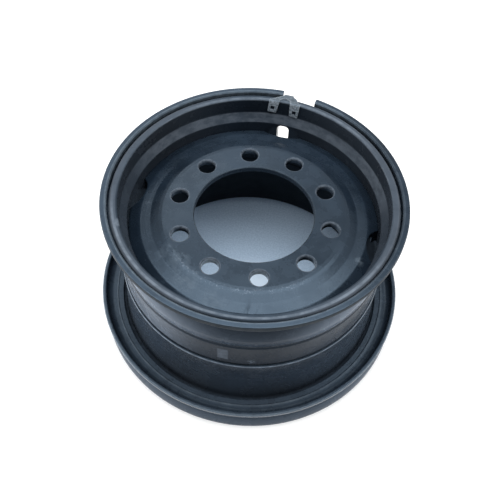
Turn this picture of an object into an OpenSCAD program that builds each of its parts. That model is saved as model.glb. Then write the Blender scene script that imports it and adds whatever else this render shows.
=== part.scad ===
// Three-piece truck disc wheel for a tube-type tyre, lying with its lock-ring side up.
// Z runs up the wheel's axis from the ground, and the valve slot faces +Y.
// Millimetres. The side flange has slid down the rim and rests on the fixed flange.

/* [Rim shell] */
// Outer radius of the shell between its tyre seat and its joint
shell_r = 252; // [225:1:280]
// Wall thickness of the shell
shell_t = 8; // [6:0.5:9]
// Height of the joint between the shell and the gutter section
joint_z = 154; // [130:1:170]
// Height of the weld bead in that joint
joint_gap = 4; // [3:0.5:6]
// Step from the shell's face in to the weld bead
joint_step = 2.6; // [1:0.1:3.5]
// Rounding of the shell's top edge at the joint
joint_round = 3; // [0.5:0.5:4]
// Rise of the tyre seat above the shell, where it meets the flange's fillet
seat_rise = 5.2; // [4:0.1:7]
// Taper of the tyre seat in degrees
seat_taper = 5; // [4:0.5:8]
// Thickness of the shell under the tyre seat
seat_t = 11; // [9:0.5:13]
// Radius of the fillet between the tyre seat and the flange's web
seat_fillet = 8; // [5:0.5:12]
// Radius that blends the tyre seat into the shell
seat_blend = 60; // [30:5:90]

/* [Flanges] */
// Height of both flanges above the tyre seat
flange_h = 44.3; // [40:0.1:50]
// Outer radius of a flange's curled rim
curl_r = 24; // [18:0.5:26]
// Thickness of a flange's curled rim
curl_t = 8; // [6:0.5:10]
// Height of the fixed flange's web above the ground
web_z = 27; // [25:0.5:34]
// Thickness of the fixed flange's web at its heel
heel_t = 12; // [10:0.5:14]
// Fillet inside the heel
heel_fillet = 6; // [4:0.5:10]
// Thickness of the side flange's web
side_web_t = 7; // [5:0.5:9]
// Width of the side flange's slightly thicker band beside its curl
side_ridge_w = 3.5; // [2:0.5:8]
// Height of the thicker band above the web
side_ridge_h = 1.2; // [0.5:0.1:2]
// Clearance between the side flange's bore and the tyre seat
side_bore_gap = 4.8; // [3:0.1:8]
// How far the side flange stands out past the fixed flange
side_out = 2; // [0:0.5:4]
// How far the side flange has slid off centre
side_slid = 1; // [0:0.5:3]

/* [Gutter section] */
// Height of the gutter lip's top above the ground
lip_z = 323; // [290:1:356]
// How far the gutter lip stands out past the shell
lip_out = 6; // [3:0.5:8]
// Height of the gutter lip
lip_h = 9.5; // [8:0.5:13]
// Rounding of the lip's outer top edge
lip_round = 5; // [2:0.5:6]
// Height of the gutter between its shoulder and its lip
gutter_h = 15.5; // [13:0.5:19]
// How far the gutter's floor lies inside the shell's face
gutter_in = 3; // [2:0.5:4]
// How far the gutter's shoulder stands out past the shell
shoulder_out = 1; // [0.5:0.5:3]
// Height of the gutter's shoulder
shoulder_h = 8; // [6:0.5:10]
// How far the rim's throat lies inside the shell's face
throat_in = 9; // [8:0.5:12]
// How far the land for the disc lies inside the shell's face
land_in = 21; // [18:0.5:24]
// Height of the land's top above the bolting face
land_rise = 2; // [1:0.5:5]
// Height of the slope between the land and the throat
land_slope_h = 17; // [12:1:22]
// How far the neck under the gutter lies inside the shell's face
neck_in = 7.5; // [5:0.5:8]
// How far the bulged band stands out past the shell
bulge_out = 0.6; // [0:0.1:2]
// Rounding of the bulge's crown
bulge_round = 34; // [20:1:50]
// Drop from the lip's top to the crown of the bulge
bulge_drop = 83; // [78:1:88]
// Drop from the lip's top to the groove under the bulge
groove_drop = 106; // [100:1:112]
// How far the groove's floor lies inside the shell's face
groove_in = 4; // [2.6:0.1:5]

/* [Lock ring] */
// Height of the lock ring's top above the gutter lip
ring_rise = 5; // [3:0.5:8]
// Clearance between the lock ring and the edge of the gutter lip
ring_lip_gap = 3; // [1.5:0.5:6]
// Width of the lock ring across its top
ring_top_w = 12; // [9:0.5:15]
// Chamfer of the lock ring's inner top edge
ring_chamfer = 2.5; // [1:0.5:4]
// Height of the lock ring's outer face
ring_face_h = 8; // [5:0.5:12]
// Radial clearance between the lock ring's foot and the gutter's floor
ring_foot_gap = 0.6; // [0.3:0.1:1]
// Clearance between the lock ring's foot and the lip above it
ring_foot_room = 2.5; // [1.5:0.5:4]
// Angle of the gap between the lock ring's ends
ring_gap_a = 14.2; // [12:0.2:20]
// Angle from the valve slot to the middle of that gap
ring_gap_at = 4.8; // [2:0.1:10]

/* [Disc] */
// Depth of the bolting face below the gutter lip's top
disc_in = 51; // [45:1:60]
// Thickness of the disc at its bolting face
disc_t = 13; // [11:0.5:16]
// Radius of the hub bore
bore_r = 110.5; // [99:0.5:122]
// Chamfer at the hub bore's edges
bore_chamfer = 1.5; // [0.5:0.1:3]
// Width of the bend between the disc's crest ring and the rim
bend_w = 24; // [20:1:28]
// Width of the disc's crest ring
crest_w = 17; // [12:1:20]
// Tilt of the crest ring outwards and down, in degrees
crest_tilt = 8; // [0:0.5:10]
// Width of the slope between the bolting face and the crest ring
slope_w = 21; // [16:1:24]
// Drop from the bolting face to the crest ring
crest_drop = 7; // [4:0.5:9]
// Rounding of the disc's bends beside its bolting face
face_round = 40; // [12:1:45]
// Thickness of the disc's skirt, thinned by drawing
skirt_t = 10; // [8:0.5:12]
// Height of the disc's skirt against the rim
skirt_h = 30; // [24:1:36]
// Drop from the bolting face to the top of the skirt
skirt_drop = 21; // [16:1:26]
// Leg of the fillet weld under the skirt
weld_leg = 7; // [4:0.5:10]
// Clear length between an end of that weld and a hand hole
weld_end_gap = 8; // [4:1:20]

/* [Holes] */
// Number of stud holes
stud_n = 10; // [6:1:10]
// Diameter of the stud circle
stud_circle_d = 285.75; // [275:0.25:314.5]
// Diameter of a stud hole
stud_d = 32; // [26:0.25:34]
// Radius of the ball seat in each stud hole
ball_r = 22; // [20:0.5:26]
// Diameter of the ball seat at the bolting face
ball_d = 36; // [35:0.5:38]
// Number of hand holes cut in the disc's edge
hand_n = 4; // [2:1:6]
// Radius of the round cut that makes a hand hole
hand_cut_r = 50; // [40:1:60]
// How far a hand hole reaches in from the disc's edge
hand_depth = 21; // [15:0.5:24]
// Width of the valve slot
slot_w = 24; // [20:0.5:32]
// Rounding of the valve slot's corners
slot_round = 9; // [4:0.5:10]
// Drop from the bolting face to the valve slot's top
slot_drop = 0.5; // [0:0.5:8]
// Length of the valve slot
slot_len = 60; // [50:1:66]

/* [Valve bracket] */
// Thickness of the bracket's sheet
bracket_t = 3; // [2:0.1:4]
// Width of the bracket
bracket_w = 61; // [56:1:70]
// Offset of the bracket's crown from the valve slot's centre
bracket_at = -3; // [-8:0.5:2]
// Lean of the bracket, as it sits a little crooked on the rim
bracket_lean = 5; // [0:0.5:8]
// Width of the bracket's arch at its top
arch_w = 22; // [18:0.5:26]
// Reach of the arch over the gutter lip, into the bracket's crown
arch_in = 9; // [6:0.5:9]
// Width of the opening between the feet at their ends
arch_foot_w = 27; // [24:0.5:32]
// Length of a foot below the gutter lip's top
foot_len = 28; // [24:0.5:34]
// Rounding of the feet's outer corners
foot_round = 3; // [1:0.5:5]
// Side of the square hole in a foot
foot_hole = 7.5; // [4:0.5:8]
// Height of that hole's centre above the end of the foot
foot_hole_up = 12; // [9:0.5:16]
// Width of the tongue that hooks over the gutter lip
tongue_w = 22; // [16:0.5:24]
// Offset of the tongue from the bracket's centre
tongue_at = 4.5; // [2:0.5:8]
// Length of the tongue past the gutter lip
tongue_out = 8; // [6:0.5:11]
// Drop of the tongue's turned end
tongue_drop = 9; // [5:0.5:10]

/* [Hidden] */
$fn = 180;

paint = [0.13, 0.15, 0.17];
worn_paint = [0.17, 0.19, 0.21];
weld_grey = [0.22, 0.23, 0.24];
sheet_grey = [0.24, 0.26, 0.28];

// Largest turn of one straight piece in a rounded corner, in degrees
corner_step = 10;
// Overlap that makes a cut run past a face
past = 1;

shell_in_r = shell_r - shell_t;
seat_r = shell_r + seat_rise;
seat_z = web_z + seat_fillet;
seat_h = seat_rise / tan(seat_taper);
heel_r = seat_r - seat_t;

flange_r = seat_r + flange_h;
curl_inner_r = curl_r - curl_t;
curl_centre_r = flange_r - curl_r;
side_r = flange_r + side_out;
side_bore_r = seat_r + side_bore_gap;
side_tip_z = 2 * web_z;

joint_low = joint_z - joint_gap / 2;
joint_high = joint_z + joint_gap / 2;
weld_out_r = shell_r - joint_step;
weld_in_r = shell_in_r - 0.5;

lip_r = shell_r + lip_out;
lip_low = lip_z - lip_h;
gutter_r = shell_r - gutter_in;
gutter_low = lip_low - gutter_h;
shoulder_r = shell_r + shoulder_out;
shoulder_low = gutter_low - shoulder_h;
neck_r = shell_r - neck_in;
throat_r = shell_r - throat_in;
land_r = shell_r - land_in;
bulge_z = lip_z - bulge_drop;
groove_z = lip_z - groove_drop;

ring_top = lip_z + ring_rise;
ring_in_r = lip_r + ring_lip_gap;
ring_r = ring_in_r + ring_top_w;
ring_foot_r = gutter_r + ring_foot_gap;
ring_foot_top = lip_low - ring_foot_room;

disc_z = lip_z - disc_in;
crest_out_r = land_r - bend_w;
crest_in_r = crest_out_r - crest_w;
face_r = crest_in_r - slope_w;
skirt_top = disc_z - skirt_drop;
skirt_low = skirt_top - skirt_h;
crest_low = disc_z - crest_drop - (crest_w + 3) * tan(crest_tilt);
land_top = disc_z + land_rise;
land_low = skirt_low - weld_leg;
flare_h = 24;

hand_edge_r = land_r - hand_depth;
hand_cut_at = hand_edge_r + hand_cut_r;
hand_half = acos((land_r * land_r + hand_cut_at * hand_cut_at - hand_cut_r * hand_cut_r)
    / (2 * land_r * hand_cut_at));
slot_top = disc_z - slot_drop;

bracket_in_r = throat_r - bracket_t;
bracket_span = 2 * asin((bracket_w / 2 + foot_len * sin(bracket_lean) + 2) / bracket_in_r);
bracket_cut_r = bracket_in_r * cos(bracket_span / 2) - past;
foot_low = lip_z - foot_len;
tongue_r = lip_r + tongue_out;

// Direction from one point to another
function way(a, b) = (b - a) / norm(b - a);

// Points of one corner at p, rounded with the given turn and reach along its sides
function corner(before, p, after, turn, reach) =
    reach == 0 || turn < 0.5
        ? [p]
        : let (
            u = way(p, before),
            v = way(p, after),
            middle = p + way([0, 0], u + v) * reach / sin(turn / 2),
            from = p + u * reach - middle,
            side = cross(u, v) < 0 ? 1 : -1,
            n = max(1, ceil(turn / corner_step))
        )
        [for (i = [0:n])
            let (s = side * turn * i / n)
            middle + [from[0] * cos(s) - from[1] * sin(s), from[0] * sin(s) + from[1] * cos(s)]];

// A closed outline of [r, z, rounding] points with every corner rounded.
// Two roundings that meet on one side share it, so that neither outgrows its wall.
function rounded(points) =
    let (
        n = len(points),
        at = [for (p = points) [p[0], p[1]]],
        turns = [for (i = [0:n - 1])
            180 - acos(max(-1, min(1, way(at[i], at[(i + n - 1) % n]) * way(at[i], at[(i + 1) % n]))))],
        wanted = [for (i = [0:n - 1]) points[i][2] * tan(turns[i] / 2)],
        room = [for (i = [0:n - 1])
            let (both = wanted[i] + wanted[(i + 1) % n])
            both == 0 ? 1 : min(1, 0.98 * norm(at[(i + 1) % n] - at[i]) / both)]
    )
    [for (i = [0:n - 1])
        let (last = (i + n - 1) % n)
        each corner(at[last], at[i], at[(i + 1) % n], turns[i], wanted[i] * min(room[last], room[i]))];

// A ring turned from an outline of [r, z, rounding] points
module turned(points) {
    rotate_extrude()
        polygon(rounded(points));
}

// A cut from the axis outwards towards +Y, of an outline drawn as seen from the axis
module radial_cut(from_r, to_r) {
    translate([0, to_r, 0])
        rotate([90, 0, 0])
            linear_extrude(height = to_r - from_r)
                children();
}

// The lower half of the rim base, with its tyre seat and fixed flange
module rim_shell() {
    web_low = web_z - curl_t;
    color(paint)
        turned([
            [shell_in_r, joint_low, 0],
            [shell_r, joint_low, joint_round],
            [shell_r, seat_z + seat_h, seat_blend],
            [seat_r, web_z, seat_fillet],
            [flange_r, web_z, curl_r],
            [flange_r, 0, 1.5],
            [flange_r - curl_t, 0, 1.5],
            [flange_r - curl_t, web_low, curl_inner_r],
            [curl_centre_r, web_low, 12],
            [heel_r + 2 * heel_fillet, web_z - heel_t, 12],
            [heel_r, web_z - heel_t, heel_fillet],
            [heel_r, seat_z + heel_fillet, seat_blend],
            [shell_in_r, seat_z + seat_h, seat_blend]
        ]);
}

// The upper half of the rim base: bulged band, disc land, gutter and lip
module gutter_section() {
    color(paint)
        difference() {
            turned([
                [weld_in_r, joint_high, 0],
                [weld_out_r, joint_high, 0.6],
                [weld_out_r, groove_z - 5, 1],
                [shell_r - groove_in, groove_z, 3],
                [shell_r + bulge_out, bulge_z, bulge_round],
                [neck_r, shoulder_low - 22, 14],
                [neck_r, shoulder_low - 4, 5],
                [shoulder_r, shoulder_low, 4],
                [shoulder_r, gutter_low, 0],
                [gutter_r, gutter_low, 1],
                [gutter_r, lip_low - 1.5, 3],
                [lip_r, lip_low, 1.2],
                [lip_r, lip_z, lip_round],
                [throat_r, lip_z, 3],
                [throat_r, land_top + land_slope_h, 6],
                [land_r, land_top, 5],
                [land_r, land_low, 8],
                [weld_in_r - 1.5, land_low - flare_h, 20]
            ]);
            valve_slot();
        }
}

// The slot through the rim that the tyre's valve passes
module valve_slot() {
    side = slot_w / 2 - slot_round;
    ends = [slot_top - slot_round, slot_top - slot_len + slot_round];
    radial_cut(land_r - 5, shell_r + bulge_out + 5) {
        for (x = [-side, side], z = ends)
            translate([x, z])
                circle(slot_round);
        translate([-slot_w / 2, ends[1]])
            square([slot_w, ends[0] - ends[1]]);
        translate([-side, slot_top - slot_len])
            square([2 * side, slot_len]);
    }
}

// The weld bead all round the barrel, between the rim's two halves
module joint_weld() {
    color(weld_grey)
        turned([
            [weld_in_r, joint_low, 0],
            [weld_out_r - 1.2, joint_low, 0],
            [weld_out_r - 0.4, joint_z, 6],
            [weld_out_r - 1.2, joint_high, 0],
            [weld_in_r, joint_high, 0]
        ]);
}

// The endless side flange, lying on the fixed flange with its channel up
module side_flange() {
    ridge_r = curl_centre_r - side_ridge_w;
    top = web_z + side_web_t;
    tip_round = curl_t * 0.3;
    color(worn_paint)
        translate([-side_slid, 0, 0])
            turned([
                [side_bore_r, web_z, seat_fillet / 2],
                [side_r, web_z, curl_r],
                [side_r, side_tip_z, tip_round],
                [side_r - curl_t, side_tip_z, tip_round],
                [side_r - curl_t, top + side_ridge_h, curl_inner_r - 1],
                [ridge_r, top + side_ridge_h, 0.6],
                [ridge_r - 1.2, top, 0.6],
                [side_bore_r, top, 2]
            ]);
}

// The split ring that stands in the gutter and would hold the side flange
module lock_ring() {
    nose_r = ring_r - 9;
    color(worn_paint)
        rotate([0, 0, 90 - ring_gap_at + ring_gap_a / 2])
            rotate_extrude(angle = 360 - ring_gap_a)
                polygon(rounded([
                    [ring_foot_r, gutter_low, 1.6],
                    [shoulder_r, gutter_low, 4],
                    [nose_r, gutter_low + 4, 3],
                    [ring_r, ring_top - ring_face_h, 2.5],
                    [ring_r, ring_top, 2.2],
                    [ring_in_r + ring_chamfer, ring_top, 1],
                    [ring_in_r, ring_top - ring_chamfer, 1],
                    [ring_in_r, ring_foot_top + 1, 2],
                    [ring_foot_r, ring_foot_top, 1.2]
                ]));
}

// The pressed disc, with its bore, stud holes and hand holes
module wheel_disc() {
    low = disc_z - disc_t;
    inner_r = land_r - skirt_t;
    color(paint)
        difference() {
            turned([
                [bore_r, low + bore_chamfer, 0],
                [bore_r + bore_chamfer, low, 0],
                [face_r - 3, low, face_round],
                [crest_in_r - 3, low - crest_drop, 16],
                [inner_r, crest_low - disc_t, 16],
                [inner_r, skirt_low, 2],
                [land_r, skirt_low, 0],
                [land_r, skirt_top, 3],
                [crest_out_r + 3, crest_low, 12],
                [crest_in_r, disc_z - crest_drop, 12],
                [face_r, disc_z, face_round],
                [bore_r + bore_chamfer, disc_z, 0],
                [bore_r, disc_z - bore_chamfer, 0]
            ]);
            stud_holes();
            hand_holes();
        }
}

// Round stud holes with a ball seat for the nuts
module stud_holes() {
    seat_up = sqrt(ball_r * ball_r - ball_d * ball_d / 4);
    for (i = [0:stud_n - 1])
        rotate([0, 0, 90 + (i + 0.5) * 360 / stud_n])
            translate([stud_circle_d / 2, 0, disc_z]) {
                translate([0, 0, -disc_t - crest_drop - past])
                    cylinder(h = disc_t + crest_drop + 2 * past, d = stud_d, $fn = 60);
                translate([0, 0, seat_up])
                    sphere(ball_r, $fn = 60);
            }
}

// Round cuts in the disc's edge, one of them at the valve slot
module hand_holes() {
    for (i = [0:hand_n - 1])
        rotate([0, 0, 90 + i * 360 / hand_n])
            translate([hand_cut_at, 0, skirt_low - past])
                cylinder(h = disc_z - skirt_low + 2 * past, r = hand_cut_r);
}

// Fillet welds under the skirt, one between each two hand holes
module disc_weld() {
    end_a = asin(weld_end_gap / land_r);
    arc = 360 / hand_n - 2 * (hand_half + end_a);
    color(weld_grey)
        for (i = [0:hand_n - 1])
            rotate([0, 0, 90 + i * 360 / hand_n + hand_half + end_a])
                rotate_extrude(angle = arc)
                    polygon([
                        [land_r, skirt_low],
                        [land_r - weld_leg, skirt_low],
                        [land_r - weld_leg * 0.35, skirt_low - weld_leg * 0.45],
                        [land_r, skirt_low - weld_leg * 0.8]
                    ]);
}

// The pressed bracket on the rim's inner wall, hooked over the lip in the ring's gap
module valve_bracket() {
    middle = asin(bracket_at / bracket_in_r);
    strip_low = foot_low - foot_len * sin(bracket_lean);
    color(sheet_grey)
        difference() {
            rotate([0, 0, 90 - middle - bracket_span / 2])
                rotate_extrude(angle = bracket_span)
                    polygon(rounded([
                        [throat_r, strip_low, 0],
                        [throat_r, lip_z, 0],
                        [tongue_r - bracket_t, lip_z, 1],
                        [tongue_r - bracket_t, lip_z - tongue_drop, 0],
                        [tongue_r, lip_z - tongue_drop, 0],
                        [tongue_r, lip_z + bracket_t, 4],
                        [bracket_in_r, lip_z + bracket_t, 3.5],
                        [bracket_in_r, strip_low, 0]
                    ]));
            translate([bracket_at, 0, lip_z])
                rotate([0, bracket_lean, 0]) {
                    bracket_trim();
                    bracket_arch();
                    bracket_holes();
                }
            translate([bracket_at, 0, 0])
                for (side = [-1, 1])
                    crown_corner(side);
        }
}

// What is trimmed from the strip beside the feet and under them
module bracket_trim() {
    half = bracket_w / 2;
    high = 2 * bracket_t + past;
    radial_cut(bracket_cut_r, throat_r + past)
        difference() {
            translate([-bracket_w, -2 * foot_len])
                square([2 * bracket_w, 2 * foot_len + high]);
            translate([-half, foot_round - foot_len])
                square([bracket_w, foot_len + high]);
            translate([foot_round - half, -foot_len])
                square([bracket_w - 2 * foot_round, foot_len]);
            for (side = [-1, 1])
                translate([side * (half - foot_round), foot_round - foot_len])
                    circle(foot_round, $fn = 24);
        }
}

// The arch between the bracket's feet, open at the bottom and round at its end in the crown
module bracket_arch() {
    half = arch_w / 2;
    foot_half = arch_foot_w / 2;
    end_r = (half * half + arch_in * arch_in) / (2 * arch_in);
    radial_cut(bracket_cut_r, throat_r + past)
        polygon([
            [-half, -bracket_t],
            [-foot_half, -foot_len - past],
            [foot_half, -foot_len - past],
            [half, -bracket_t]
        ]);
    translate([0, 0, -bracket_t - past])
        linear_extrude(height = 3 * bracket_t + 2 * past) {
            translate([-half, bracket_cut_r])
                square([arch_w, throat_r - bracket_cut_r]);
            intersection() {
                translate([0, throat_r + arch_in - end_r])
                    circle(end_r);
                translate([-half, throat_r - past])
                    square([arch_w, arch_in + past]);
            }
        }
}

// A square hole in each foot
module bracket_holes() {
    at = (bracket_w + arch_foot_w) / 4;
    radial_cut(bracket_cut_r, throat_r + past)
        for (side = [-1, 1])
            translate([side * at, foot_hole_up - foot_len])
                square(foot_hole, center = true);
}

// What is trimmed from one side of the crown, down to the tongue
module crown_corner(side) {
    out = bracket_w / 2 + 20;
    start = throat_r + 1;
    tongue = side * tongue_at + tongue_w / 2;
    translate([0, 0, lip_z - tongue_drop - past])
        linear_extrude(height = tongue_drop + bracket_t + 2 * past)
            polygon([
                [side * out, start],
                [side * (bracket_w / 2 - 3), start],
                [side * (tongue + 5), lip_r - 2],
                [side * tongue, lip_r + 1],
                [side * (tongue - 2), tongue_r - 3],
                [side * (tongue - 5), tongue_r + past],
                [side * out, tongue_r + past]
            ]);
}

rim_shell();
gutter_section();
joint_weld();
side_flange();
lock_ring();
wheel_disc();
disc_weld();
valve_bracket();
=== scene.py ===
"""Looks of the truck wheel: camera, stage, light and finishes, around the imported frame."""
import math

import bpy
from mathutils import Matrix, Vector


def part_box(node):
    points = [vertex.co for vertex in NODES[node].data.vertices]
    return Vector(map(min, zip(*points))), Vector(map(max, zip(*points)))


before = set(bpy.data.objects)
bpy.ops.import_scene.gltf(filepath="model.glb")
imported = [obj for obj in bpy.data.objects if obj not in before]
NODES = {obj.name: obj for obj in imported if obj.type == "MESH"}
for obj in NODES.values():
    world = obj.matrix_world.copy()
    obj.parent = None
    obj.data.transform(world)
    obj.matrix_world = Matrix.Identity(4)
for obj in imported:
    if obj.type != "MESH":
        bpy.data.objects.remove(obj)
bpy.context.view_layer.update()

# Camera: where it stands, in metres, which way it looks, its lean in degrees, how far it sees, in metres,
# and its sensor and lens in millimetres
CAMERA_AT = (0.1640, -0.7780, 1.2690)
CAMERA_AIM = (-0.1226, 0.5670, -0.8146)
CAMERA_LEAN = 3.16
CAMERA_REACH = 60
SENSOR_WIDTH = 36.0
FOCAL_LENGTH = 50.1

# Lamps: name, place, place lit, width and length in metres, and power in watts
WHEEL_MIDDLE = (0, 0, 0.2)
BARREL_MIDDLE = (0, 0, 0.15)
LAMPS = (
    ("overhead", (-0.1, 0.3, 2.2), WHEEL_MIDDLE, 2.4, 0.8, 34),
    ("top front", (0.2, -0.45, 2.2), WHEEL_MIDDLE, 3.0, 0.9, 38),
    ("left", (-1.96, -0.41, 0.3), BARREL_MIDDLE, 2.0, 0.5, 54),
    ("right", (1.96, 0.41, 0.3), BARREL_MIDDLE, 2.0, 0.5, 33),
    ("back", (-1.0, 1.8, 2.5), WHEEL_MIDDLE, 1.2, 0.8, 8),
)

# World and floor: colours, strengths, the floor's size, and the distances between which one look fades
# into the next, in metres
WHITE = (1.0, 1.0, 1.0)
SKY = (0.93, 0.97, 1.0)
SKY_STRENGTH = 0.3
FLOOR_SIZE = 20
FLOOR_PALE = ((0.9, 0.9, 0.89), (0.97, 0.96, 0.95))
FLOOR_BOUNCE = (0.62, 0.74, 0.88)
FLOOR_SHADED = ((0.35, 0.46, 0.58), (0.46, 0.57, 0.69))
FLOOR_LIT_MIDDLE = (0.6, 0.7, 0.8)
FLOOR_GLOW = ((0.55, 0.78, 1.1), (0.2, 0.28, 0.4))
FLOOR_GLOW_STRENGTH = 0.12
FLOOR_FAR_STRENGTH = 0.9
FLOOR_SHADED_R = (0.29, 0.27)
FLOOR_LIT_MIDDLE_R = (0.1, 0.03)
FLOOR_FAR_R = (1.3, 3.0)
FLOOR_GLOW_Y = (0.05, 0.24)

# Colours of the finishes, some of which also paint highlights, sheen, light and shade
PAINT = (0.005, 0.009, 0.015)
WELD = (0.002, 0.003, 0.004)
HIDDEN_WELD = (0.012, 0.017, 0.022)
SHEET = (0.17, 0.2, 0.23)
SHEET_DUST = (0.15, 0.175, 0.2)
SHEET_FEET = (0.36, 0.41, 0.46)
SHEET_GRIME = (0.03, 0.04, 0.05)
SHEET_EDGE = (0.42, 0.46, 0.5)
DUST = (0.045, 0.068, 0.098)
FILM_AND_PAINTED_LIGHT = (0.142, 0.164, 0.195)
PAINTED_SHADE_BLACK = (0.0008, 0.001, 0.0014)
RUBBED_AND_LIT = (0.10, 0.125, 0.15)
RUBBED_AND_LIT_PALE = (0.2, 0.235, 0.28)
SCUFFED = (0.12, 0.15, 0.18)
CHAFED_AND_LIT = (0.17, 0.2, 0.24)
CHAFED_AND_LIT_PALE = (0.22, 0.26, 0.31)
BARE_AND_LIT = (0.42, 0.5, 0.58)
SPECULAR_TINT = (0.56, 0.77, 1.0, 1.0)

# Radii and heights of the wheel, from the frame
LIP_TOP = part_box("gutter_section")[1].z
RING_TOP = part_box("lock_ring")[1].z
RING_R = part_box("lock_ring")[1].x
DISC_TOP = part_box("wheel_disc")[1].z
FLANGE_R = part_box("rim_shell")[1].x
JOINT_Z = (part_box("joint_weld")[0].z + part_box("joint_weld")[1].z) / 2

# Edges and holes between them that the finishes follow, in metres and radians, and the cosine and sine of
# the bracket's lean
THROAT_R = 0.243
LIP_FRONT_R = 0.2518
LIP_BACK_R = 0.2475
RING_IN_R = 0.261
SLOPE_TOP_R = 0.171
BORE_R = 0.1105
STUD_CIRCLE_R = 0.142875
STUD_PITCH = math.radians(36)
SEAT_EDGE_R = 0.018
SHOULDER_Z = (0.246, 0.268)
GROOVE_R = 0.2485
GROOVE_Z = 0.2165
LEDGE_R = 0.2524
LEDGE_BACK_R = (0.2515, 0.2508)
LEDGE_BACK_Z = (0.148, 0.151)
FLANGE_SIDE_R = (0.288, 0.294)
BRACKET_HOLES = ((0.0175, 0.3051), (-0.0263, 0.309))
BRACKET_LEAN = (0.996, 0.087)
HOLE_HALF = 0.00375

# Places of single marks, in metres: the patch on the barrel, then place, reach and share of the others
PATCH_X = 0.0112
PATCH_Z = 0.1845
PATCH_HALF_X = 0.0092
PATCH_HALF_Z = 0.0165
SCUFFS = (
    ((-0.1, -0.141, 0.268), 0.026, 1.0),
    ((-0.124, -0.125, 0.268), 0.022, 1.0),
    ((-0.076, -0.17, 0.268), 0.03, 0.9),
    ((0.207, -0.047, 0.267), 0.014, 1.3),
    ((-0.198, -0.027, 0.268), 0.009, 0.9),
    ((-0.02, -0.195, 0.266), 0.03, 0.6),
)
SMEARS = (
    ((0.0611, -0.2429, 0.168), 0.011, 1.0),
    ((0.0157, -0.2495, 0.236), 0.016, 0.5),
)
LIP_NICK = ((-0.2098, -0.1253, 0.3225), 0.011, 0.9)
DRIPS_AT = (0.0426, -0.197, 0.268)
DRIPS_REACH = 0.022

# Horizontal direction from the wheel's left side, in the photograph, to its right side
SIDEWAYS = (0.978, 0.206)


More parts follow.
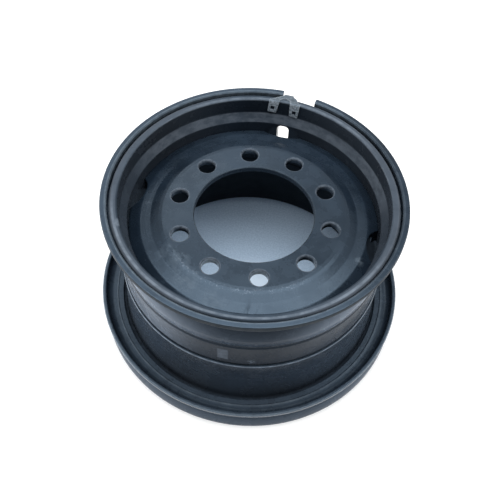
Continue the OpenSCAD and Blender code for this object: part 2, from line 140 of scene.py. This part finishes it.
class Finish:
    """One procedural material, put together from small steps."""

    def __init__(self, name):
        self.material = bpy.data.materials.new(name)
        self.material.use_nodes = True
        self.nodes = self.material.node_tree.nodes
        self.links = self.material.node_tree.links
        self.shader = self.nodes["Principled BSDF"]
        self.place = self.nodes.new("ShaderNodeTexCoord").outputs["Object"]
        split = self.nodes.new("ShaderNodeSeparateXYZ")
        self.links.new(self.place, split.inputs[0])
        self.x, self.y, self.z = split.outputs
        self.r = self.math("SQRT", self.plus(self.square(self.x), self.square(self.y)))
        facing = self.nodes.new("ShaderNodeSeparateXYZ")
        normal = self.nodes.new("ShaderNodeNewGeometry").outputs["Normal"]
        self.links.new(normal, facing.inputs[0])
        self.up = facing.outputs[2]
        outward = self.plus(self.times(self.x, facing.outputs[0]), self.times(self.y, facing.outputs[1]))
        self.out = self.math("DIVIDE", outward, self.r)
        across = self.plus(self.times(self.x, SIDEWAYS[0]), self.times(self.y, SIDEWAYS[1]))
        self.across = self.math("DIVIDE", across, self.r)
        self.side = self.math("ABSOLUTE", self.across)

    def put(self, socket, value):
        """Gives an input a number, a colour or another node's output."""
        if isinstance(value, bpy.types.NodeSocket):
            self.links.new(value, socket)
        elif isinstance(value, tuple) and len(value) == 3 and socket.type == "RGBA":
            socket.default_value = (*value, 1.0)
        else:
            socket.default_value = value

    def math(self, operation, *values):
        node = self.nodes.new("ShaderNodeMath")
        node.operation = operation
        for socket, value in zip(node.inputs, values):
            self.put(socket, value)
        return node.outputs[0]

    def plus(self, a, b):
        return self.math("ADD", a, b)

    def minus(self, a, b):
        return self.math("SUBTRACT", a, b)

    def times(self, *values):
        """The product of several values."""
        product = values[0]
        for value in values[1:]:
            product = self.math("MULTIPLY", product, value)
        return product

    def most(self, *values):
        """The largest of several values."""
        largest = values[0]
        for value in values[1:]:
            largest = self.math("MAXIMUM", largest, value)
        return largest

    def square(self, value):
        return self.times(value, value)

    def gap(self, value, place):
        """How far a value is from a place, either way."""
        return self.math("ABSOLUTE", self.minus(value, place))

    def fade(self, value, start, end, low=0.0, high=1.0):
        """A value that runs smoothly from low to high as another goes from start to end."""
        node = self.nodes.new("ShaderNodeMapRange")
        node.interpolation_type = "SMOOTHSTEP"
        for socket, number in zip(node.inputs, (value, start, end, low, high)):
            self.put(socket, number)
        return node.outputs[0]

    def noise(self, scale, detail=3.0, roughness=0.55, stretch=(1.0, 1.0, 1.0), at=None):
        """A soft random value from 0 to 1, with features of about 1 / scale metres."""
        node = self.nodes.new("ShaderNodeTexNoise")
        mapping = self.nodes.new("ShaderNodeMapping")
        mapping.inputs["Scale"].default_value = stretch
        self.put(mapping.inputs["Vector"], at or self.place)
        self.put(node.inputs["Vector"], mapping.outputs[0])
        self.put(node.inputs["Scale"], scale)
        self.put(node.inputs["Detail"], detail)
        self.put(node.inputs["Roughness"], roughness)
        return node.outputs["Fac"]

    def patches(self, *noise, start=0.3, end=0.7, low=0.0, high=1.0):
        """A noise with more contrast: low where it is under start, high where it is over end."""
        return self.fade(self.noise(*noise), start, end, low, high)

    def rolled(self, scale, detail=2.0):
        """Fine lines that run round the axis."""
        around = self.nodes.new("ShaderNodeCombineXYZ")
        self.put(around.inputs[0], self.times(self.x, 0.01))
        self.put(around.inputs[1], self.times(self.y, 0.01))
        self.put(around.inputs[2], self.plus(self.z, self.r))
        return self.noise(scale, detail, 0.6, at=around.outputs[0])

    def band(self, r, z, reach):
        """1 at the circle of that radius and height, fading to 0 at that distance from it."""
        away = self.plus(self.square(self.minus(self.r, r)), self.square(self.minus(self.z, z)))
        return self.fade(self.math("SQRT", away), reach, reach * 0.35)

    def spot(self, at, reach, softness=0.6):
        """1 near a point, fading to 0 at that distance from it."""
        node = self.nodes.new("ShaderNodeVectorMath")
        node.operation = "DISTANCE"
        self.put(node.inputs[0], self.place)
        self.put(node.inputs[1], Vector(at))
        return self.fade(node.outputs["Value"], reach, reach * (1 - softness))

    def spots(self, places):
        """The strongest of several spots, each with its place, reach and share."""
        return self.most(*(self.times(self.spot(at, reach), share) for at, reach, share in places))

    def edges(self, size, low, high):
        """1 along sharp edges, from how much a bevel of that size would turn the surface."""
        bevel = self.nodes.new("ShaderNodeBevel")
        bevel.samples = 4
        self.put(bevel.inputs["Radius"], size)
        turn = self.nodes.new("ShaderNodeVectorMath")
        turn.operation = "DISTANCE"
        self.put(turn.inputs[0], bevel.outputs[0])
        self.put(turn.inputs[1], self.nodes.new("ShaderNodeNewGeometry").outputs["Normal"])
        return self.fade(turn.outputs["Value"], low, high)

    def mix(self, share, a, b):
        """Colour a, turned into colour b by that share."""
        node = self.nodes.new("ShaderNodeMix")
        node.data_type = "RGBA"
        colours = [socket for socket in node.inputs if socket.type == "RGBA"]
        self.put(node.inputs[0], share)
        self.put(colours[0], a)
        self.put(colours[1], b)
        return next(socket for socket in node.outputs if socket.type == "RGBA")

    def bump(self, height, depth):
        """Raises the surface by up to that depth in metres."""
        node = self.nodes.new("ShaderNodeBump")
        node.inputs["Distance"].default_value = depth
        self.put(node.inputs["Height"], height)
        self.put(self.shader.inputs["Normal"], node.outputs[0])


def painted(name, dust_share, colour=PAINT, dust=DUST, side_dust_and_shade=(0.72, 0.6), film_and_sheen=(0.0, 0.0), wear_and_highlights=(),
            wear_and_highlight_colour=RUBBED_AND_LIT, gloss=0.24, shine=0.36, rolled=260.0, grain_depth=0.00022, marks=None):
    """Worn dark paint: patchy tone, rolled lines, dust on what faces up, rubbed edges and painted
    highlights, painted shade at the sides, pale film and painted sheen, and grain.

    dust_share: the most dust that settles on a face turned up
    side_dust_and_shade: shares of that dust left at the wheel's left and right sides, which paints shade
    there; the right one also dims the rubbed edges there
    film: shares of pale film and painted sheen on faces turned outwards, in front and at the sides
    wear: radius, height, reach and share of each rubbed edge and each painted highlight line
    gloss, shine: about its roughness, and its specular level
    rolled, grain_depth: scale of the rolled lines, and the bump's depth in metres
    marks: a function that adds what one piece has alone
    """
    f = Finish(name)
    patchy = f.noise(34.0, 4.0, 0.6)
    speckled = f.noise(420.0, 3.0, 0.7)
    lines = f.rolled(rolled)

    darker = tuple(c * 0.62 for c in colour)
    lighter = tuple(c * 1.35 for c in colour)
    tone = f.mix(f.patches(7.0, 2.0), darker, lighter)
    tone = f.mix(f.times(f.fade(lines, 0.35, 0.75), 0.35), tone, lighter)

    # Dust settles on what faces up; side_dust_and_shade leaves less of it at the left and right sides, a
    # painted shade there
    dust_and_side_shade = f.times(f.fade(f.up, 0.35, 0.98, 0.0, dust_share),
                      f.fade(patchy, 0.3, 0.7, 0.6, 1.0),
                      f.fade(speckled, 0.3, 0.7, 0.7, 1.0),
                      f.fade(f.across, 0.2, 0.9, 1.0, side_dust_and_shade[1]),
                      f.fade(f.across, -0.3, -0.9, 1.0, side_dust_and_shade[0]))
    tone = f.mix(dust_and_side_shade, tone, dust)
    # Pale film with painted sheen on outward faces, strongest at the wheel's left and right sides
    film_and_sheen_share = f.times(f.fade(f.side, 0.1, 0.65, *film_and_sheen),
                       f.fade(f.out, -0.2, 0.5, 0.15, 1.0),
                       f.fade(patchy, 0.3, 0.7, 0.85, 1.0))
    tone = f.mix(film_and_sheen_share, tone, FILM_AND_PAINTED_LIGHT)
    # Rubbed edges and painted highlight lines, dimmed at the right side as painted shade
    if wear_and_highlights:
        rubbed_and_lit = f.most(*(f.times(f.band(r, z, reach), share) for r, z, reach, share in wear_and_highlights))
        rubbed_and_lit = f.times(rubbed_and_lit,
                         f.patches(70.0, 5.0, 0.65, low=0.4),
                         f.fade(f.across, 0.3, 0.9, 1.0, side_dust_and_shade[1] ** 0.5))
        tone = f.mix(f.times(rubbed_and_lit, 0.75), tone, wear_and_highlight_colour)

    rough = f.plus(f.fade(patchy, 0.3, 0.7, gloss - 0.05, gloss + 0.07), f.times(dust_and_side_shade, 0.2))
    height = f.plus(f.times(speckled, 0.6), f.plus(f.times(lines, 0.55), f.times(patchy, 0.8)))
    if marks:
        tone, rough = marks(f, tone, rough)
    f.put(f.shader.inputs["Base Color"], tone)
    f.put(f.shader.inputs["Roughness"], rough)
    f.shader.inputs["Specular Tint"].default_value = SPECULAR_TINT
    f.shader.inputs["Specular IOR Level"].default_value = shine
    f.bump(height, grain_depth)
    return f.material


def make_camera():
    """The camera at the photograph's viewing angle."""
    aim = Vector(CAMERA_AIM).normalized()
    right = aim.cross(Vector((0, 0, 1))).normalized()
    up = right.cross(aim)
    lean = Matrix.Rotation(math.radians(CAMERA_LEAN), 3, "Z")
    turn = Matrix((right, up, -aim)).transposed() @ lean
    camera = bpy.data.objects.new("camera", bpy.data.cameras.new("camera"))
    camera.data.sensor_width = SENSOR_WIDTH
    camera.data.lens = FOCAL_LENGTH
    camera.data.clip_end = CAMERA_REACH
    camera.matrix_world = Matrix.Translation(CAMERA_AT) @ turn.to_4x4()
    bpy.context.scene.collection.objects.link(camera)
    bpy.context.scene.camera = camera


def make_lamp(name, at, aim, width, length, power):
    """A soft lamp at one place, shining at another."""
    data = bpy.data.lights.new(name, "AREA")
    data.shape = "RECTANGLE"
    data.size = width
    data.size_y = length
    data.energy = power
    lamp = bpy.data.objects.new(name, data)
    lamp.location = at
    lamp.rotation_euler = (Vector(aim) - Vector(at)).to_track_quat("-Z", "Y").to_euler()
    bpy.context.scene.collection.objects.link(lamp)


def make_floor():
    """A plain pale floor that shows white and keeps the wheel's shadow; inside the wheel it has painted
    shade, a painted pool of light under the bore and a painted glow, brighter towards the front.
    """
    bpy.ops.mesh.primitive_plane_add(size=FLOOR_SIZE)
    floor = bpy.context.object
    floor.name = "floor"
    f = Finish("floor")
    grain = f.noise(260.0, 4.0, 0.7)
    inside = f.fade(f.r, *FLOOR_SHADED_R)
    path = f.nodes.new("ShaderNodeLightPath").outputs
    seen = f.most(path["Is Camera Ray"], path["Is Glossy Ray"], path["Is Transmission Ray"])
    pale = f.mix(seen, FLOOR_BOUNCE, f.mix(grain, *FLOOR_PALE))
    # Painted shade on the floor inside the wheel, lighter in the middle as a painted pool of light under
    # the bore
    shaded = f.mix(f.fade(grain, 0.35, 0.65), *FLOOR_SHADED)
    shaded = f.mix(f.fade(f.r, *FLOOR_LIT_MIDDLE_R), shaded, FLOOR_LIT_MIDDLE)
    f.put(f.shader.inputs["Base Color"], f.mix(inside, pale, shaded))
    f.shader.inputs["Roughness"].default_value = 0.9
    f.shader.inputs["Specular IOR Level"].default_value = 0.1
    # A painted glow inside the wheel, brighter towards the front
    glow = f.mix(f.fade(f.y, *FLOOR_GLOW_Y), *FLOOR_GLOW)
    f.put(f.shader.inputs["Emission Color"], f.mix(inside, WHITE, glow))
    far = f.times(path["Is Camera Ray"], f.fade(f.r, *FLOOR_FAR_R, 0.0, FLOOR_FAR_STRENGTH))
    f.put(f.shader.inputs["Emission Strength"], f.plus(f.times(seen, FLOOR_GLOW_STRENGTH), far))
    floor.data.materials.append(f.material)


def make_world():
    """White to the camera and in reflections, plain soft light to the wheel."""
    world = bpy.data.worlds.new("world")
    bpy.context.scene.world = world
    world.use_nodes = True
    nodes = world.node_tree.nodes
    links = world.node_tree.links
    light = nodes["Background"]
    light.inputs["Color"].default_value = (*SKY, 1.0)
    light.inputs["Strength"].default_value = SKY_STRENGTH
    backdrop = nodes.new("ShaderNodeBackground")
    backdrop.inputs["Color"].default_value = (*WHITE, 1.0)
    backdrop.inputs["Strength"].default_value = 1.0
    choose = nodes.new("ShaderNodeMixShader")
    path = nodes.new("ShaderNodeLightPath")
    shown = path.outputs["Is Camera Ray"]
    for kind in ("Is Glossy Ray", "Is Transmission Ray"):
        either = nodes.new("ShaderNodeMath")
        either.operation = "MAXIMUM"
        links.new(shown, either.inputs[0])
        links.new(path.outputs[kind], either.inputs[1])
        shown = either.outputs[0]
    links.new(shown, choose.inputs[0])
    links.new(light.outputs[0], choose.inputs[1])
    links.new(backdrop.outputs[0], choose.inputs[2])
    links.new(choose.outputs[0], nodes["World Output"].inputs["Surface"])


def from_stud_axis(f):
    """How far a point is from the axis of the nearest stud hole."""
    angle = f.math("ARCTAN2", f.x, f.y)
    off = f.minus(STUD_PITCH / 2, f.math("PINGPONG", angle, STUD_PITCH / 2))
    shared = f.times(f.r, 2 * STUD_CIRCLE_R, f.math("COSINE", off))
    return f.math("SQRT", f.minus(f.plus(f.square(f.r), STUD_CIRCLE_R ** 2), shared))


def disc_marks(f, tone, rough):
    """Painted shade on the flat towards the front, worn ball seats, bare steel and painted light on the
    front stud holes' walls, scuffs, painted highlight specks and drips.
    """
    # Painted shade: the flat turns darker towards the front
    flat = f.times(f.fade(f.up, 0.98, 0.998), f.fade(f.y, 0.1, -0.05, 0.0, 0.5))
    tone = f.mix(flat, tone, PAINT)

    away = from_stud_axis(f)
    seat = f.times(f.fade(away, SEAT_EDGE_R + 0.0012, SEAT_EDGE_R - 0.0002),
                   f.fade(f.z, DISC_TOP - 0.009, DISC_TOP - 0.005),
                   f.patches(150.0, 3.0, start=0.35, end=0.6, low=0.4))
    tone = f.mix(f.times(seat, 0.55), tone, CHAFED_AND_LIT)

    scuffs = f.times(f.spots(SCUFFS),
                     f.patches(90.0, 6.0, 0.7, (1.0, 1.0, 0.4), start=0.4, end=0.62),
                     f.fade(f.rolled(420.0), 0.35, 0.6, 0.35, 1.0))
    tone = f.mix(f.times(scuffs, 0.4), tone, SCUFFED)
    rough = f.plus(rough, f.times(scuffs, 0.16))

    # Bare steel and painted light on the walls of the front stud holes
    lit_bare_wall = f.times(f.fade(f.math("ABSOLUTE", f.up), 0.55, 0.3),
                   f.fade(away, SEAT_EDGE_R + 0.0015, SEAT_EDGE_R + 0.0005),
                   f.fade(f.y, -0.07, -0.11, 0.0, 0.8),
                   f.patches(160.0, 4.0, end=0.6, low=0.6))
    tone = f.mix(lit_bare_wall, tone, BARE_AND_LIT)

    # Painted highlight specks along the top of the slope, at the front
    highlight_specks = f.times(f.fade(f.gap(f.r, SLOPE_TOP_R), 0.007, 0.002),
                     f.fade(f.y, -0.1, -0.15),
                     f.patches(330.0, 2.0, 0.6, start=0.56, end=0.66))
    tone = f.mix(f.times(highlight_specks, 0.5), tone, CHAFED_AND_LIT)

    drips = f.times(f.spot(DRIPS_AT, DRIPS_REACH, 0.8),
                    f.patches(190.0, 3.0, 0.6, (1.0, 0.12, 0.3), start=0.48, end=0.62))
    tone = f.mix(f.times(drips, 0.6), tone, PAINT)
    return tone, f.plus(rough, f.times(drips, 0.2))


def gutter_marks(f, tone, rough):
    """Painted shade on the barrel below the groove, in its crevices and at the throat's front corner, pale
    film and painted light on the back slope, painted highlights on the lip with a chafed nick, a pale
    patch and smears.
    """
    outside = f.fade(f.out, 0.0, 0.4)
    # Painted shade on the barrel below the groove, strongest at the front and right
    below = f.times(f.fade(f.z, GROOVE_Z + 0.004, GROOVE_Z - 0.004),
                    f.fade(f.across, -0.7, -0.25, 0.3, 0.8),
                    f.fade(f.y, -0.12, 0.03, 1.0, 0.4))
    tone = f.mix(f.times(outside, below), tone, PAINT)

    # Painted shade on the throat's rounded corner at the front
    corner = f.times(f.band(THROAT_R + 0.001, LIP_TOP - 0.001, 0.0036), f.fade(f.y, 0.0, -0.08))
    tone = f.mix(f.times(corner, 0.5), tone, PAINT)
    rough = f.plus(rough, f.times(corner, 0.55))

    # Pale film on the up-facing inner slope at the back, partly dust and partly painted light
    slope = f.times(f.fade(f.up, 0.25, 0.5),
                    f.fade(f.out, -0.15, -0.4),
                    f.fade(f.y, 0.0, 0.12, 0.0, 0.3),
                    f.patches(42.0, 5.0, 0.62, (1.0, 1.0, 2.5), start=0.32, end=0.66, low=0.35, high=1.15))
    tone = f.mix(slope, tone, FILM_AND_PAINTED_LIGHT)

    # Painted shade in the groove, under the shoulder and above the joint
    crevice_shade = f.most(f.times(f.band(GROOVE_R, GROOVE_Z, 0.006), 0.8),
                   f.times(f.fade(f.z, *SHOULDER_Z), 0.55),
                   f.times(f.fade(f.z, JOINT_Z + 0.006, JOINT_Z + 0.0035), 0.8))
    tone = f.mix(f.times(outside, crevice_shade), tone, PAINT)

    # Painted highlights along the lip's front and back edges, and a chafed nick
    lip_highlights_and_nick = f.most(f.times(f.band(LIP_FRONT_R, LIP_TOP, 0.0032), f.fade(f.y, -0.04, -0.14)),
                    f.times(f.band(LIP_BACK_R, LIP_TOP, 0.0038), f.fade(f.y, 0.14, 0.22, 0.0, 0.8)),
                    f.spots([LIP_NICK]))
    lip_highlights_and_nick = f.times(lip_highlights_and_nick, f.patches(60.0, 5.0, 0.65, low=0.35))
    tone = f.mix(f.times(lip_highlights_and_nick, 0.5), tone, CHAFED_AND_LIT_PALE)

    patch = f.times(f.fade(f.gap(f.x, PATCH_X), PATCH_HALF_X + 0.001, PATCH_HALF_X - 0.001),
                    f.fade(f.gap(f.z, PATCH_Z), PATCH_HALF_Z + 0.0015, PATCH_HALF_Z - 0.0015),
                    outside,
                    f.fade(f.y, -0.2, -0.24),
                    f.patches(150.0, 4.0, 0.65, low=0.5))
    tone = f.mix(f.times(patch, 0.5), tone, FILM_AND_PAINTED_LIGHT)

    smears = f.times(f.spots(SMEARS), f.patches(210.0, 5.0, 0.7, start=0.46, end=0.6))
    return f.mix(f.times(smears, 0.45), tone, FILM_AND_PAINTED_LIGHT), rough


def ring_marks(f, tone, rough):
    """Painted shade on the lock ring's outer side, which is also made duller."""
    outer = f.fade(f.out, 0.35, 0.75)
    return f.mix(f.times(outer, 0.8), tone, PAINTED_SHADE_BLACK), f.plus(rough, f.times(outer, 0.4))


def shell_marks(f, tone, rough):
    """Painted light on the fixed flange's outer face, painted shade behind the ledge at the joint, and
    painted shade inside.
    """
    # Painted light on the fixed flange's outer face
    flange = f.times(f.fade(f.r, *FLANGE_SIDE_R), f.fade(f.out, 0.1, 0.6))
    tone = f.mix(f.times(flange, 0.4), tone, FILM_AND_PAINTED_LIGHT)
    # Painted shade in the corner behind the ledge at the joint
    corner = f.times(f.fade(f.z, *LEDGE_BACK_Z), f.fade(f.r, *LEDGE_BACK_R))
    tone = f.mix(f.times(corner, 0.8), tone, PAINT)
    # Painted shade on the shell's inner faces
    inside = f.fade(f.out, -0.1, -0.5)
    return f.mix(f.times(inside, 0.85), tone, PAINTED_SHADE_BLACK), f.plus(rough, f.times(inside, 0.3))


def bracket_marks(f, tone, rough):
    """Pale feet, grime, bright rubbed edges on the thin sheet, and darker walls in its two square holes.
    """
    tone = f.mix(f.fade(f.up, 0.6, 0.2, 0.0, 0.8), tone, SHEET_FEET)
    tone = f.mix(f.fade(f.up, 0.5, 0.9, 0.0, 0.3), tone, PAINT)
    tone = f.mix(f.patches(210.0, 5.0, 0.7, start=0.4, end=0.62, high=0.7), tone, SHEET_GRIME)
    bare = f.times(f.edges(0.0016, 0.15, 0.55), f.patches(300.0, 4.0, end=0.6, low=0.5))
    tone = f.mix(f.times(bare, 0.85), tone, SHEET_EDGE)
    along, aside = BRACKET_LEAN
    for x, z in BRACKET_HOLES:
        across = f.minus(f.x, x)
        down = f.minus(f.z, z)
        level = f.minus(f.times(across, along), f.times(down, aside))
        upright = f.plus(f.times(across, aside), f.times(down, along))
        away = f.most(f.math("ABSOLUTE", level), f.math("ABSOLUTE", upright))
        tone = f.mix(f.fade(away, HOLE_HALF + 0.0004, HOLE_HALF), tone, PAINT)
    return tone, rough


make_camera()
make_world()
make_floor()
for lamp in LAMPS:
    make_lamp(*lamp)

finishes = {
    # Disc: side_dust_and_shade paints shade at the left and right sides
    "wheel_disc": painted(
        "disc paint", 0.3, side_dust_and_shade=(0.15, 0.4), shine=0.42, marks=disc_marks,
        wear_and_highlights=[(BORE_R + 0.0007, DISC_TOP - 0.0005, 0.002, 0.45)]),
    # Rim: film paints sheen on the barrel's sides, and the throat's wear line is partly a painted
    # highlight
    "gutter_section": painted(
        "rim paint", 0.6, film_and_sheen=(0.24, 0.95), shine=0.08, grain_depth=0.00008, marks=gutter_marks,
        wear_and_highlights=[(THROAT_R + 0.001, LIP_TOP - 0.001, 0.0035, 0.25)]),
    # Shell: film paints a little sheen, and the first wear line is a painted highlight on the ledge at the
    # joint
    "rim_shell": painted(
        "shell paint", 0.45, film_and_sheen=(0.12, 0.11), shine=0.2, grain_depth=0.00015, marks=shell_marks,
        wear_and_highlights=[(LEDGE_R, JOINT_Z - 0.0045, 0.0032, 1.0), (FLANGE_R, 0.001, 0.004, 0.6)],
        wear_and_highlight_colour=RUBBED_AND_LIT_PALE),
    # Side flange: film paints light on its outward faces; its wear lines are a rubbed tip with a painted
    # highlight, and painted highlights on the web's ridge and inside the curl
    "side_flange": painted(
        "side flange paint", 0.42, film_and_sheen=(0.38, 0.26),
        wear_and_highlights=[(FLANGE_R + 0.0012, 0.0535, 0.004, 1.0),
              (0.2756, 0.0352, 0.0025, 1.0),
              (0.2835, 0.0385, 0.004, 1.0)]),
    # Ring: side_dust_and_shade paints shade at the right side, and the last wear line paints light on the
    # inner wall
    "lock_ring": painted(
        "ring paint", 0.76, side_dust_and_shade=(0.6, 0.15), film_and_sheen=(0.05, 0.05), shine=0.3, marks=ring_marks,
        wear_and_highlights=[(RING_R - 0.0007, RING_TOP - 0.0007, 0.002, 0.6),
              (RING_IN_R + 0.0025, RING_TOP, 0.002, 1.0),
              (RING_IN_R, RING_TOP - 0.005, 0.008, 0.8)]),
    "joint_weld": painted("weld", 0.1, WELD, gloss=0.5, shine=0.08, rolled=120.0, grain_depth=0.0008),
    "disc_weld": painted("disc weld", 0.3, HIDDEN_WELD, gloss=0.4, rolled=120.0, grain_depth=0.0008),
    "valve_bracket": painted("bracket sheet", 0.4, SHEET, SHEET_DUST, marks=bracket_marks),
}
for name, finish in finishes.items():
    NODES[name].data.materials.clear()
    NODES[name].data.materials.append(finish)

bpy.context.scene.view_settings.view_transform = "Standard"
